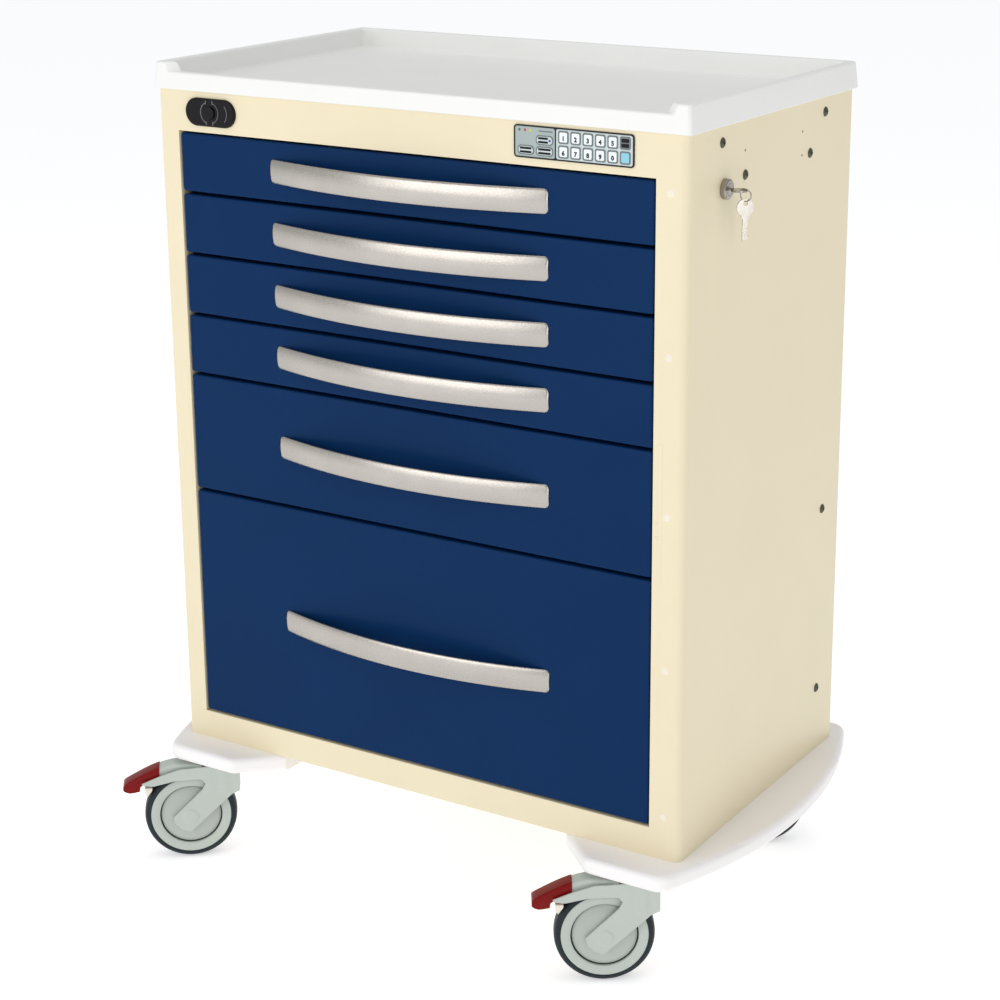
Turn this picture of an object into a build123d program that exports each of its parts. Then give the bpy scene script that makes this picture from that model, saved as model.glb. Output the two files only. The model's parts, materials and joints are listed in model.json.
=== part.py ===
from build123d import *
import math
import os

# Medication cart: a sheet-steel cabinet with six drawers on telescoping slides, a moulded
# worktop tray, two moulded base bumpers and four braked swivel casters.
# Millimetres. The origin is on the floor under the middle of the cabinet, +Z is up,
# the drawers face -Y and +X is to the right of someone facing them.

# ---------------------------------------------------------------- driving dimensions
CABINET_W = 727.0
CABINET_D = 422.0
CABINET_Z0 = 159.0
CABINET_Z1 = 1008.0
SHEET = 1.5
CORNER_R = 11.0
FOLD_R = 2.5
RETURN_DEPTH = 18.0

OPENING_X0 = -336.0
OPENING_X1 = 324.0
OPENING_TOP = 958.0
INCH3 = 76.2
DRAWER_UNITS = [1, 1, 1, 1, 2, 4]

FRONT_GAP = 2.0
TOP_GAP = 3.0
SIDE_GAP_LEFT = 1.5
SIDE_GAP_RIGHT = 2.5
FRONT_RECESS = 1.5
FRONT_DEPTH = 17.5
FRONT_SHEET = 1.2
FRONT_EDGE_R = 2.5

SLIDE_W = 13.0
SLIDE_Y0 = -189.0
SLIDE_Y1 = 186.0
SLIDE_CENTRE = 30.0
BRACKET_W = 30.0
BRACKET_T = 2.0
BRACKET_Y = [-138.0, 110.0]
BOX_SHEET = 1.2
BOX_FLOOR = 6.0
BOX_HEADROOM = 13.0

HANDLE_X0 = -198.0
HANDLE_X1 = 188.0
HANDLE_H = 29.0
HANDLE_STANDOFF = 30.0
HANDLE_T = 3.5
HANDLE_CORNER_R = 5.0

TRAY_X = 369.0
TRAY_Y = 217.0
TRAY_RIM = 1040.0
TRAY_LIP = 1029.0
TRAY_NOTCH_X = 343.5
TRAY_NOTCH_TOP_X = 352.0
TRAY_FLOOR = 1014.0
TRAY_DRAFT = 8.0
TRAY_WALL = 15.0
TRAY_CORNER_R = 6.0
TRAY_WELL_R = 8.0
TRAY_EDGE_R = 2.5

BUMPER_Z0 = 138.0
BUMPER_MAX_X = 419.0
BUMPER_SIDE_R = 620.0
BUMPER_Y = 255.0
BUMPER_FRONT_X = 262.0
BUMPER_INNER_X = 210.0
BUMPER_INNER_Y = 209.0
BUMPER_EDGE_R = 7.0

KINGPIN_X = 314.0
KINGPIN_Y = 209.0
WHEEL_R = 60.0
WHEEL_W = 28.0
RIM_R = 52.0
TRAIL = 44.0
HEAD_R = 21.5
HEAD_TOP = 136.4
CHEEK_IN = 16.5
CHEEK_T = 3.5
AXLE_R = 4.0
STEM_R = 8.0
STEM_BOTTOM = 119.0
STEM_TOP = 155.0
# Direction of each caster's trail, in degrees about +Z.
CASTER_ANGLE = {"front_left": 218.9, "front_right": 213.0, "rear_left": 141.1, "rear_right": 215.0}
CASTER_SIGN = {"front_left": (-1, -1), "front_right": (1, -1), "rear_left": (-1, 1), "rear_right": (1, 1)}

PEDAL_PIVOT = (31.0, 125.5)
PEDAL_PIN_R = 2.0
PEDAL_HALF_W = 14.0

LOCK_Y = -127.5
LOCK_Z = 937.4
LOCK_R = 11.5
LOCK_PROUD = 7.0
CORE_R = 6.5
CAM_R = 5.66
BAR_Y0 = -172.0
BAR_Y1 = -150.0
KEY_T = 2.0
KEY_BOW_R = 9.5
RING_R = 6.5
RING_WIRE = 0.6

KEYPAD_X = 221.5
KEYPAD_Z = 985.0
KEYPAD_W = 152.0
KEYPAD_H = 36.5
KEYPAD_T = 1.6
KEY_PITCH = 15.5
KEY_INSET = 10.1

ESCUTCHEON_X = -284.0
ESCUTCHEON_Z = 983.0
ESCUTCHEON_W = 75.0
ESCUTCHEON_H = 34.0
ESCUTCHEON_T = 4.0
LATCH_R = 8.0

# ---------------------------------------------------------------- worked-out values
HALF_W = CABINET_W / 2
HALF_D = CABINET_D / 2
FRONT_Y = -HALF_D
BACK_Y = HALF_D
OPENING_BOTTOM = OPENING_TOP - INCH3 * sum(DRAWER_UNITS)
FACE_Y = FRONT_Y + FRONT_RECESS
BOX_Y0 = FACE_Y + FRONT_DEPTH
BOX_Y1 = SLIDE_Y1
BOX_X0 = OPENING_X0 + SLIDE_W
BOX_X1 = OPENING_X1 - SLIDE_W
PANEL_IN = HALF_W - SHEET

SCREW_R = 6.0
SCREW_SHANK_R = 2.5
SIDE_SCREWS = [(-134.0, 989.0), (133.0, 989.0), (-77.0, 945.5), (93.0, 945.5), (160.5, 487.0), (160.5, 245.0)]
BACK_SCREWS = [(x, z) for x in (-330.0, 0.0, 330.0) for z in (190.0, 977.0)]
PLUG_X = 342.0
PLUG_R = 4.5
PLUG_Z = [943.5, 762.0, 578.5, 395.0, 212.5]


def block(x0, x1, y0, y1, z0, z1):
    """A box from its two extreme corners."""
    centre = Pos((x0 + x1) / 2, (y0 + y1) / 2, (z0 + z1) / 2)
    return centre * Box(x1 - x0, y1 - y0, z1 - z0)


def rod_x(r, x0, x1, y, z):
    """A round bar along X."""
    return Pos((x0 + x1) / 2, y, z) * Rot(0, 90, 0) * Cylinder(r, x1 - x0)


def rod_y(r, y0, y1, x, z):
    """A round bar along Y."""
    return Pos(x, (y0 + y1) / 2, z) * Rot(90, 0, 0) * Cylinder(r, y1 - y0)


def rod_z(r, z0, z1, x, y):
    """A round bar along Z."""
    return Pos(x, y, (z0 + z1) / 2) * Cylinder(r, z1 - z0)


def dome(r, height):
    """A shallow spherical cap of base radius r that stands on XY."""
    ball_r = (r * r + height * height) / (2 * height)
    half = math.asin(r / ball_r) / 2
    shoulder = (ball_r * math.sin(half), ball_r * math.cos(half) - ball_r + height)
    face = make_face(Curve() + [Line((0, 0), (r, 0)), ThreePointArc((r, 0), shoulder, (0, height)),
                                Line((0, height), (0, 0))])
    return revolve(Plane.XZ * face, Axis.Z)


def dome_x(r, x, y, z, height, side):
    """A cap on a plane of constant x, bulging along side."""
    return Pos(x, y, z) * Rot(0, 90 * side, 0) * dome(r, height)


def dome_y(r, x, y, z, height, side):
    """A cap on a plane of constant y, bulging along side."""
    return Pos(x, y, z) * Rot(-90 * side, 0, 0) * dome(r, height)


def save(name, *solids):
    """Writes one node, as one solid or as a group of separate solids."""
    flat = [s for item in solids for s in item.solids()]
    export_step(flat[0] if len(flat) == 1 else Compound(children=flat), f"parts/{name}.step")


# ---------------------------------------------------------------- cabinet
def folded_block(inset, z0, z1):
    """The cabinet's plan, inset all round: a wide bend at the front right, tight folds elsewhere."""
    body = block(inset - HALF_W, HALF_W - inset, FRONT_Y + inset, BACK_Y - inset, z0, z1)
    wide = body.edges().filter_by(Axis.Z).filter_by(lambda e: e.center().X > 0 > e.center().Y)
    body = fillet(wide, CORNER_R - inset)
    tight = body.edges().filter_by(Axis.Z).filter_by(lambda e: e.center().X < 0 or e.center().Y > 0)
    return fillet(tight, FOLD_R - inset)


def side_panel(side, opening_x):
    """One side sheet, folded round the front corner into a stile and round the back into a flange."""
    outer = folded_block(0.0, CABINET_Z0, CABINET_Z1)
    inner = folded_block(SHEET, CABINET_Z0 - 1, CABINET_Z1 + 1)
    edge = abs(opening_x)
    back_edge = HALF_W - 22.0
    x_in, x_out = sorted((side * edge, side * HALF_W))
    front = block(x_in, x_out, FRONT_Y, 0, CABINET_Z0, CABINET_Z1)
    x_in, x_out = sorted((side * back_edge, side * HALF_W))
    back = block(x_in, x_out, 0, BACK_Y, CABINET_Z0, CABINET_Z1)
    sheet = (outer - inner) & (front + back)
    x_in, x_out = sorted((side * edge, side * (edge + SHEET)))
    fold = block(x_in, x_out, FRONT_Y, FRONT_Y + RETURN_DEPTH, CABINET_Z0, CABINET_Z1)
    panel = sheet + fold
    for y, z in SIDE_SCREWS:
        x0, x1 = sorted((side * (PANEL_IN - 1), side * (HALF_W + 1)))
        panel -= rod_x(SCREW_SHANK_R + 0.1, x0, x1, y, z)
    if side > 0:
        panel -= rod_x(9.1, PANEL_IN - 1, HALF_W + 1, LOCK_Y, LOCK_Z)
        for z in PLUG_Z:
            panel -= rod_y(3.1, FRONT_Y - 1, FRONT_Y + SHEET + 1, PLUG_X, z)
    return panel


def deck(z0):
    """A horizontal sheet that fills the cabinet's plan inside its folded corners."""
    narrow = PANEL_IN - CORNER_R
    sheet = block(OPENING_X0 + SHEET, OPENING_X1 - SHEET, FRONT_Y + SHEET, BACK_Y - 2 * SHEET, z0, z0 + SHEET)
    sheet += block(-PANEL_IN, PANEL_IN, FRONT_Y + RETURN_DEPTH, BACK_Y - CORNER_R, z0, z0 + SHEET)
    return sheet + block(-narrow, narrow, 0, BACK_Y - 2 * SHEET, z0, z0 + SHEET)


def opening_edge(z0):
    """The sheet fold that faces the drawer opening from above or below."""
    x0, x1 = OPENING_X0 + SHEET, OPENING_X1 - SHEET
    return block(x0, x1, FRONT_Y + SHEET, FRONT_Y + RETURN_DEPTH, z0, z0 + SHEET)


def top_frame():
    """The header above the drawers, folded back into the sheet that carries the worktop."""
    header = block(OPENING_X0, OPENING_X1, FRONT_Y, FRONT_Y + SHEET, OPENING_TOP, CABINET_Z1)
    hole = rod_y(LATCH_R + 0.8, FRONT_Y - 1, FRONT_Y + SHEET + 1, ESCUTCHEON_X, ESCUTCHEON_Z)
    return header + opening_edge(OPENING_TOP) + deck(CABINET_Z1 - SHEET) - hole


def base_pan():
    """The bottom rail below the drawers, folded back into the floor that stands on the bumpers."""
    rail = block(OPENING_X0, OPENING_X1, FRONT_Y, FRONT_Y + SHEET, CABINET_Z0, OPENING_BOTTOM)
    return rail + opening_edge(OPENING_BOTTOM - SHEET) + deck(CABINET_Z0)


def back_panel():
    """The flat sheet screwed inside the side panels' back flanges."""
    sheet = block(-(PANEL_IN - CORNER_R), PANEL_IN - CORNER_R, BACK_Y - 2 * SHEET, BACK_Y - SHEET,
                  CABINET_Z0, CABINET_Z1)
    for x, z in BACK_SCREWS:
        sheet -= rod_y(SCREW_SHANK_R + 0.1, BACK_Y - 2 * SHEET - 1, BACK_Y, x, z)
    return sheet


def worktop_tray():
    """A moulded tray with drafted walls, whose front wall steps down to a low lip between its corners."""
    rise = TRAY_RIM - CABINET_Z1
    outline = RectangleRounded(2 * TRAY_X, 2 * TRAY_Y, TRAY_CORNER_R)
    body = Pos(0, 0, CABINET_Z1) * extrude(outline, rise, taper=TRAY_DRAFT)
    well = RectangleRounded(2 * (TRAY_X - TRAY_WALL), 2 * (TRAY_Y - TRAY_WALL), TRAY_WELL_R)
    body -= Pos(0, 0, TRAY_FLOOR) * extrude(well, rise, taper=-TRAY_DRAFT)
    body = fillet(body.faces().sort_by(Axis.Z)[-1].edges(), TRAY_EDGE_R)
    notch = Plane.XZ * make_face(Polyline(
        (-TRAY_NOTCH_X, TRAY_LIP), (TRAY_NOTCH_X, TRAY_LIP), (TRAY_NOTCH_TOP_X, TRAY_RIM),
        (TRAY_NOTCH_TOP_X, TRAY_RIM + 5), (-TRAY_NOTCH_TOP_X, TRAY_RIM + 5), (-TRAY_NOTCH_TOP_X, TRAY_RIM),
        close=True))
    return body - Pos(0, -TRAY_Y + TRAY_WALL + 2, 0) * extrude(notch, TRAY_WALL + 10)


def bumper(side):
    """A moulded base bumper: bowed along the side, square across the front and the back."""
    bow_x = BUMPER_MAX_X - BUMPER_SIDE_R
    corner_x = bow_x + math.sqrt(BUMPER_SIDE_R ** 2 - BUMPER_Y ** 2)
    outline = Curve() + [
        ThreePointArc((corner_x, -BUMPER_Y), (BUMPER_MAX_X, 0), (corner_x, BUMPER_Y)),
        Line((corner_x, BUMPER_Y), (BUMPER_FRONT_X, BUMPER_Y)),
        Line((BUMPER_FRONT_X, BUMPER_Y), (BUMPER_INNER_X, BUMPER_INNER_Y)),
        Line((BUMPER_INNER_X, BUMPER_INNER_Y), (BUMPER_INNER_X, -BUMPER_INNER_Y)),
        Line((BUMPER_INNER_X, -BUMPER_INNER_Y), (BUMPER_FRONT_X, -BUMPER_Y)),
        Line((BUMPER_FRONT_X, -BUMPER_Y), (corner_x, -BUMPER_Y)),
    ]
    body = Pos(0, 0, BUMPER_Z0) * extrude(make_face(outline), CABINET_Z0 - BUMPER_Z0)
    uprights = body.edges().filter_by(Axis.Z)
    body = fillet(uprights.filter_by(lambda e: e.center().X > BUMPER_FRONT_X + 5), 22.0)
    uprights = body.edges().filter_by(Axis.Z)
    body = fillet(uprights.filter_by(lambda e: abs(e.center().X - BUMPER_FRONT_X) < 3), 18.0)
    caps = body.faces().filter_by(Axis.Z).edges()
    rim = caps.filter_by(lambda e: e.center().X > BUMPER_INNER_X + 4)
    body = fillet(rim, BUMPER_EDGE_R)
    for sy in (-1, 1):
        body -= rod_z(STEM_R, BUMPER_Z0 - 1, STEM_TOP, KINGPIN_X, sy * KINGPIN_Y)
    return body if side > 0 else mirror(body, Plane.YZ)


def caster_stem(sx, sy):
    """The fixed pin that a caster swivels on, with its thrust washer."""
    x, y = sx * KINGPIN_X, sy * KINGPIN_Y
    return rod_z(STEM_R, STEM_BOTTOM, STEM_TOP, x, y) + rod_z(19.0, HEAD_TOP + 0.2, BUMPER_Z0, x, y)


def panel_screws():
    """Dark pan-head screws: six on each side, six on the back."""
    screws = []
    for side in (-1, 1):
        for y, z in SIDE_SCREWS:
            x0, x1 = sorted((side * (HALF_W - 8), side * HALF_W))
            head = dome_x(SCREW_R, side * HALF_W, y, z, 2.6, side)
            screws.append(head + rod_x(SCREW_SHANK_R, x0, x1, y, z))
    for x, z in BACK_SCREWS:
        face = BACK_Y - SHEET
        screws.append(dome_y(SCREW_R, x, face, z, 2.6, 1) + rod_y(SCREW_SHANK_R, face - 8, face, x, z))
    return screws


def hole_plugs():
    """Plastic plugs in the right stile's spare holes."""
    return [dome_y(PLUG_R, PLUG_X, FRONT_Y, z, 1.0, -1) + rod_y(3.0, FRONT_Y, FRONT_Y + 6, PLUG_X, z)
            for z in PLUG_Z]


# ---------------------------------------------------------------- front controls
def keypad_housing():
    """The keypad's rounded frame, flat on the header, with a raised border round two fields."""
    plate = RectangleRounded(KEYPAD_W, KEYPAD_H, 4.0)
    body = extrude(plate, KEYPAD_T)
    split = KEYPAD_W * 0.352 - KEYPAD_W / 2
    fields = [(-KEYPAD_W / 2 + 1.6, split - 0.7), (split + 0.7, KEYPAD_W / 2 - 1.6)]
    for x0, x1 in fields:
        pocket = Pos((x0 + x1) / 2, 0, KEYPAD_T - 0.4) * RectangleRounded(x1 - x0, KEYPAD_H - 3.2, 2.6)
        body -= extrude(pocket, 1.0)
    return Pos(KEYPAD_X, FRONT_Y, KEYPAD_Z) * Rot(90, 0, 0) * body


def keypad_keys():
    """Twelve square keys and three wide ones: low pads that stand on the keypad's face."""
    keys = []
    split = KEYPAD_X - KEYPAD_W / 2 + KEYPAD_W * 0.352
    for row in (0, 1):
        for col in range(6):
            x = split + KEY_INSET + KEY_PITCH * col
            keys.append((x, KEYPAD_Z + 8.0 - 16.0 * row, 13.2, 14.2, 2.4))
    left = KEYPAD_X - KEYPAD_W / 2
    keys += [(left + 39.6, KEYPAD_Z + 2.8, 22.0, 10.6, 4.2), (left + 39.6, KEYPAD_Z - 9.4, 22.0, 10.6, 4.2),
             (left + 15.4, KEYPAD_Z - 9.4, 21.0, 10.6, 4.2)]
    face_y = FRONT_Y - KEYPAD_T + 0.4
    return [Pos(x, face_y, z) * Rot(90, 0, 0) * extrude(RectangleRounded(w, h, r), 0.5)
            for x, z, w, h, r in keys]


def lock_escutcheon():
    """The black stadium-shaped plate at the header's left end, bored for its latch button."""
    body = extrude(SlotOverall(ESCUTCHEON_W, ESCUTCHEON_H), ESCUTCHEON_T)
    body = fillet(body.faces().sort_by(Axis.Z)[-1].edges(), 2.2)
    body = Pos(ESCUTCHEON_X, FRONT_Y, ESCUTCHEON_Z) * Rot(90, 0, 0) * body
    return body - rod_y(LATCH_R + 0.3, FRONT_Y - 6, FRONT_Y + 1, ESCUTCHEON_X, ESCUTCHEON_Z)


def latch_button():
    """A round push button in the escutcheon, with a retaining collar behind the header."""
    stem = rod_y(LATCH_R, FRONT_Y - ESCUTCHEON_T - 2.4, FRONT_Y + 4, ESCUTCHEON_X, ESCUTCHEON_Z)
    edge = stem.faces().sort_by(Axis.Y)[0].edges()
    collar = rod_y(LATCH_R + 3, FRONT_Y + SHEET + 0.2, FRONT_Y + 4, ESCUTCHEON_X, ESCUTCHEON_Z)
    return fillet(edge, 1.0) + collar


# ---------------------------------------------------------------- lock
def lock_barrel():
    """The fixed lock housing through the right side panel, bored for its core."""
    flange = rod_x(LOCK_R, HALF_W, HALF_W + LOCK_PROUD, LOCK_Y, LOCK_Z)
    flange = chamfer(flange.faces().sort_by(Axis.X)[-1].edges(), 1.5)
    neck = rod_x(9.0, HALF_W - 24, HALF_W, LOCK_Y, LOCK_Z)
    return flange + neck - rod_x(CORE_R + 0.05, HALF_W - 30, HALF_W + 20, LOCK_Y, LOCK_Z)


def key_blank(bow_r, blade):
    """A flat key in XY: the bow's centre at the origin, the blade along -X."""
    bow = Circle(bow_r)
    shank = Pos(-(bow_r + blade) / 2, 0) * Rectangle(bow_r + blade, 6.0)
    shoulder = Pos(-bow_r - 1.0, 0) * Rectangle(4.0, 9.0)
    return Pos(0, 0, -KEY_T / 2) * extrude(bow + shank + shoulder, KEY_T)


def lock_key():
    """The core with its cam pin, the key in it, and the split ring through the key's bow."""
    face_x = HALF_W + LOCK_PROUD
    core = rod_x(CORE_R, HALF_W - 29.5, face_x, LOCK_Y, LOCK_Z)
    disc = rod_x(9.5, HALF_W - 31.5, HALF_W - 29.5, LOCK_Y, LOCK_Z)
    pin_y = LOCK_Y - CAM_R * math.cos(math.radians(45))
    pin_z = LOCK_Z + CAM_R * math.sin(math.radians(45))
    pin = rod_x(2.0, HALF_W - 38.5, HALF_W - 31.5, pin_y, pin_z)
    bow_x = face_x + 2.0 + KEY_BOW_R
    blank = key_blank(KEY_BOW_R, 6.0) - rod_z(2.6, -3, 3, 3.2, 0)
    return core + disc + pin + Pos(bow_x, LOCK_Y, LOCK_Z) * blank


def ring_centre():
    """Centre of the split ring, which hangs over the outer rim of the inserted key's bow."""
    bow_x = HALF_W + LOCK_PROUD + 2.0 + KEY_BOW_R
    rim_x = (bow_x + 3.2 + 2.6 + bow_x + KEY_BOW_R) / 2
    return rim_x, LOCK_Z - (RING_R - KEY_T / 2 - RING_WIRE - 0.1)


def key_ring():
    """The split ring, in the plane across the side panel."""
    x, z = ring_centre()
    return Pos(x, LOCK_Y, z) * Rot(90, 0, 0) * Torus(RING_R, RING_WIRE)


def spare_key():
    """The second key, hanging from the ring with its bow parallel to the side panel."""
    x, z = ring_centre()
    wire_z = z - RING_R
    hole_z = wire_z + RING_WIRE + 0.2 - 2.6
    bow_z = hole_z + 2.6 + 2.2 - KEY_BOW_R
    blank = Pos(x, LOCK_Y, bow_z) * Rot(0, -90, 0) * key_blank(KEY_BOW_R, 27.0)
    blank -= rod_x(2.6, x - 3, x + 3, LOCK_Y, hole_z)
    for i in range(3):
        tooth_z = bow_z - KEY_BOW_R - 13.0 - 4.5 * i
        blank -= block(x - 3, x + 3, LOCK_Y + 1.8, LOCK_Y + 4, tooth_z - 1.2, tooth_z + 1.2)
    return blank


def lock_bar():
    """The vertical bar behind the right stile. Welded to it are a head plate, slotted for the cam
    pin, and one finger above each drawer's catch."""
    x0 = HALF_W - 37.5
    x1 = x0 + 3.0
    pin_y = LOCK_Y - CAM_R * math.cos(math.radians(45))
    pin_z = LOCK_Z + CAM_R * math.sin(math.radians(45))
    bar = block(x0, x1, BAR_Y0, BAR_Y1, OPENING_BOTTOM + 20, OPENING_TOP - 2)
    head = block(x0, x1, BAR_Y1, LOCK_Y + 4, pin_z - 5.4, pin_z + 6.0)
    head -= block(x0 - 1, x1 + 1, pin_y - 5.5, pin_y + 4.0, pin_z - 2.3, pin_z + 2.3)
    fingers = [block(BOX_X1 + 3, x0, BAR_Y0, BAR_Y0 + 8, low + 66.5, low + 72.5)
               for low, _ in drawer_levels()]
    return [bar, head, *fingers]


# ---------------------------------------------------------------- drawers
def drawer_levels():
    """Bottom and top of each drawer's share of the opening, from the top down."""
    levels = []
    top = OPENING_TOP
    for units in DRAWER_UNITS:
        levels.append((top - INCH3 * units, top))
        top -= INCH3 * units
    return levels


def channel(x_web, x_tip, half_h, y0, y1, z, wall=SHEET):
    """A slide member: a web at x_web with two lips that reach x_tip."""
    x0, x1 = sorted((x_web, x_tip))
    body = block(x0, x1, y0, y1, z - half_h, z + half_h)
    hollow = [x0, x1]
    if x_web < x_tip:
        hollow[0] = x_web + wall
        hollow[1] = x_tip + 1
    else:
        hollow[0] = x_tip - 1
        hollow[1] = x_web - wall
    return body - block(hollow[0], hollow[1], y0 - 1, y1 + 1, z - half_h + wall, z + half_h - wall)


def outer_rail(side, low):
    """The slide member fixed to the cabinet, and the two shelf brackets that carry it off the side panel."""
    z = low + SLIDE_CENTRE
    mount_x = OPENING_X1 if side > 0 else OPENING_X0
    solids = [channel(mount_x, mount_x - side * 10.5, 22.5, SLIDE_Y0, SLIDE_Y1 + 5, z)]
    x0, x1 = sorted((mount_x, side * PANEL_IN))
    for y in BRACKET_Y:
        solids.append(block(x0, x1, y, y + BRACKET_W, z - BRACKET_T / 2, z + BRACKET_T / 2))
    return solids


def slide_member(side, low):
    """The middle member that runs between the cabinet's rail and the drawer's."""
    z = low + SLIDE_CENTRE
    mount_x = OPENING_X1 if side > 0 else OPENING_X0
    return channel(mount_x - side * 3.0, mount_x - side * 11.0, 19.0, SLIDE_Y0, SLIDE_Y1, z)


def drawer_box(low, high):
    """The open-topped box, and welded to it its catch for the lock bar and its two slide rails."""
    top = min(high, low + INCH3 * 4) - BOX_HEADROOM
    outer = block(BOX_X0, BOX_X1, BOX_Y0, BOX_Y1, low + BOX_FLOOR, top)
    inner = block(BOX_X0 + BOX_SHEET, BOX_X1 - BOX_SHEET, BOX_Y0 + BOX_SHEET, BOX_Y1 - BOX_SHEET,
                  low + BOX_FLOOR + BOX_SHEET, top + 1)
    solids = [outer - inner, block(BOX_X1, BOX_X1 + 10, BAR_Y0 + 12, BAR_Y0 + 20, low + 56, low + 62.5)]
    for side, wall_x in ((-1, BOX_X0), (1, BOX_X1)):
        solids.append(channel(wall_x, wall_x + side * 7.0, 14.0, BOX_Y0 + 3, BOX_Y1, low + SLIDE_CENTRE))
    return solids


def drawer_front(low, high):
    """The folded front pan, round-edged, hollow towards the box."""
    top = high - (TOP_GAP if high == OPENING_TOP else FRONT_GAP)
    outer = block(OPENING_X0 + SIDE_GAP_LEFT, OPENING_X1 - SIDE_GAP_RIGHT, FACE_Y, BOX_Y0,
                  low + FRONT_GAP, top)
    outer = fillet(outer.edges().filter_by(Axis.Y), 3.0)
    outer = fillet(outer.faces().sort_by(Axis.Y)[0].edges(), FRONT_EDGE_R)
    inner = block(OPENING_X0 + SIDE_GAP_LEFT + FRONT_SHEET, OPENING_X1 - SIDE_GAP_RIGHT - FRONT_SHEET,
                  FACE_Y + FRONT_SHEET, BOX_Y0 + 1, low + FRONT_GAP + FRONT_SHEET, top - FRONT_SHEET)
    inner = fillet(inner.edges().filter_by(Axis.Y), 2.0)
    inner = fillet(inner.faces().sort_by(Axis.Y)[0].edges(), FRONT_EDGE_R - FRONT_SHEET)
    return outer - inner


def drawer_handle(low, high):
    """The bowed pull: a curved band with rounded corners whose ends land on the drawer's face."""
    mid_z = (low + high) / 2
    mid_x = (HANDLE_X0 + HANDLE_X1) / 2
    half = (HANDLE_X1 - HANDLE_X0) / 2
    sag = FACE_Y - (FRONT_Y - HANDLE_STANDOFF)
    bow_r = (half ** 2 + sag ** 2) / (2 * sag)
    inner_half = math.sqrt((bow_r - HANDLE_T) ** 2 - (bow_r - sag) ** 2)
    plan = make_face(Curve() + [
        ThreePointArc((-half, 0), (0, -sag), (half, 0)),
        Line((half, 0), (inner_half, 0)),
        ThreePointArc((inner_half, 0), (0, HANDLE_T - sag), (-inner_half, 0)),
        Line((-inner_half, 0), (-half, 0)),
    ])
    band = Pos(0, 0, -HANDLE_H / 2) * extrude(plan, HANDLE_H)
    elevation = RectangleRounded(2 * half, HANDLE_H, HANDLE_CORNER_R)
    window = Rot(90, 0, 0) * extrude(elevation, sag + 5, both=True)
    return Pos(mid_x, FACE_Y, mid_z) * (band & window)


# ---------------------------------------------------------------- casters
def place_caster(name, *solids):
    """Moves solids from the caster's own frame: +X along the trail, Z above the floor."""
    sx, sy = CASTER_SIGN[name]
    spot = Pos(sx * KINGPIN_X, sy * KINGPIN_Y, 0) * Rot(0, 0, CASTER_ANGLE[name])
    return [spot * s for s in solids]


def side_profile(points, y0, y1):
    """A side-view outline in XZ, pulled across from y0 to y1."""
    face = Plane.XZ * make_face(Polyline(*points, close=True))
    return Pos(0, y1, 0) * extrude(face, y1 - y0)


def caster_fork():
    """The moulded fork: swivel head, two diagonal legs and the guard arms over the wheel."""
    leg = [(-20.8, 93.5), (-10.6, 89.0), (-4.2, 82.9), (24.8, 56.5), (45.0, 37.6), (56.0, 42.0),
           (64.5, 50.0), (67.3, 59.5), (28.0, 97.5), (23.5, 106.0), (29.0, 112.0), (63.0, 111.5),
           (91.0, 105.5), (105.0, 107.5), (105.5, 110.0), (81.0, 119.8), (56.0, 127.5),
           (22.0, 129.5), (-10.0, 129.5), (-20.8, 129.5)]
    outer = CHEEK_IN + CHEEK_T
    fork = side_profile(leg, CHEEK_IN, outer) + side_profile(leg, -outer, -CHEEK_IN)
    head = rod_z(HEAD_R, 92.0, HEAD_TOP, 0, 0)
    fork += head
    fork += block(-4, 22.5, -outer, outer, 118.0, 129.5)
    fork -= Pos(TRAIL, 0, WHEEL_R) * Rot(90, 0, 0) * Cylinder(WHEEL_R + 2.5, 2 * CHEEK_IN)
    fork -= block(22.5, 200, -CHEEK_IN, CHEEK_IN, 0, 200)
    fork -= rod_z(STEM_R + 0.05, STEM_BOTTOM - 0.5, HEAD_TOP + 1, 0, 0)
    fork -= rod_y(AXLE_R, -outer - 1, outer + 1, TRAIL, WHEEL_R)
    px, pz = PEDAL_PIVOT
    fork -= rod_y(PEDAL_PIN_R, -outer - 1, outer + 1, px, pz)
    pedal_pin = rod_y(PEDAL_PIN_R, -outer, outer, px, pz)
    axle = rod_y(AXLE_R, -outer, outer, TRAIL, WHEEL_R)
    for side in (-1, 1):
        y0, y1 = sorted((side * outer, side * (outer + 1.4)))
        axle += rod_y(9.5, y0, y1, TRAIL, WHEEL_R)
    shoe = side_profile([(92.5, 98.5), (99.0, 90.0), (102.0, 94.0), (102.0, 102.0), (92.5, 102.0)],
                        -CHEEK_IN, CHEEK_IN)
    return fork, pedal_pin, axle, shoe


def caster_wheel():
    """The wheel centre: domed disc, groove and flat outer ring, bored for the axle."""
    half = WHEEL_W / 2
    points = [(AXLE_R + 0.05, -half - 1.4), (12.0, -half - 1.4), (39.0, -half + 2.5), (39.4, -half + 4.5),
              (40.6, -half + 4.5), (41.0, -half + 1.2), (RIM_R, -half + 0.8)]
    outline = points + [(x, -y) for x, y in reversed(points)]
    face = make_face(Polyline(*outline, close=True))
    return Pos(TRAIL, 0, WHEEL_R) * Rot(90, 0, 0) * revolve(Plane.XZ * face, Axis.Z)


def caster_tyre():
    """The tread, pressed on to the wheel centre."""
    half = WHEEL_W / 2
    face = make_face(Polyline((RIM_R, -half + 0.8), (RIM_R, half - 0.8), (RIM_R + 1.5, half),
                              (WHEEL_R - 4, half), (WHEEL_R - 1.2, half - 2.4), (WHEEL_R, half - 6),
                              (WHEEL_R, -half + 6), (WHEEL_R - 1.2, -half + 2.4), (WHEEL_R - 4, -half),
                              (RIM_R + 1.5, -half), close=True))
    return Pos(TRAIL, 0, WHEEL_R) * Rot(90, 0, 0) * revolve(Plane.XZ * face, Axis.Z)


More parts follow.
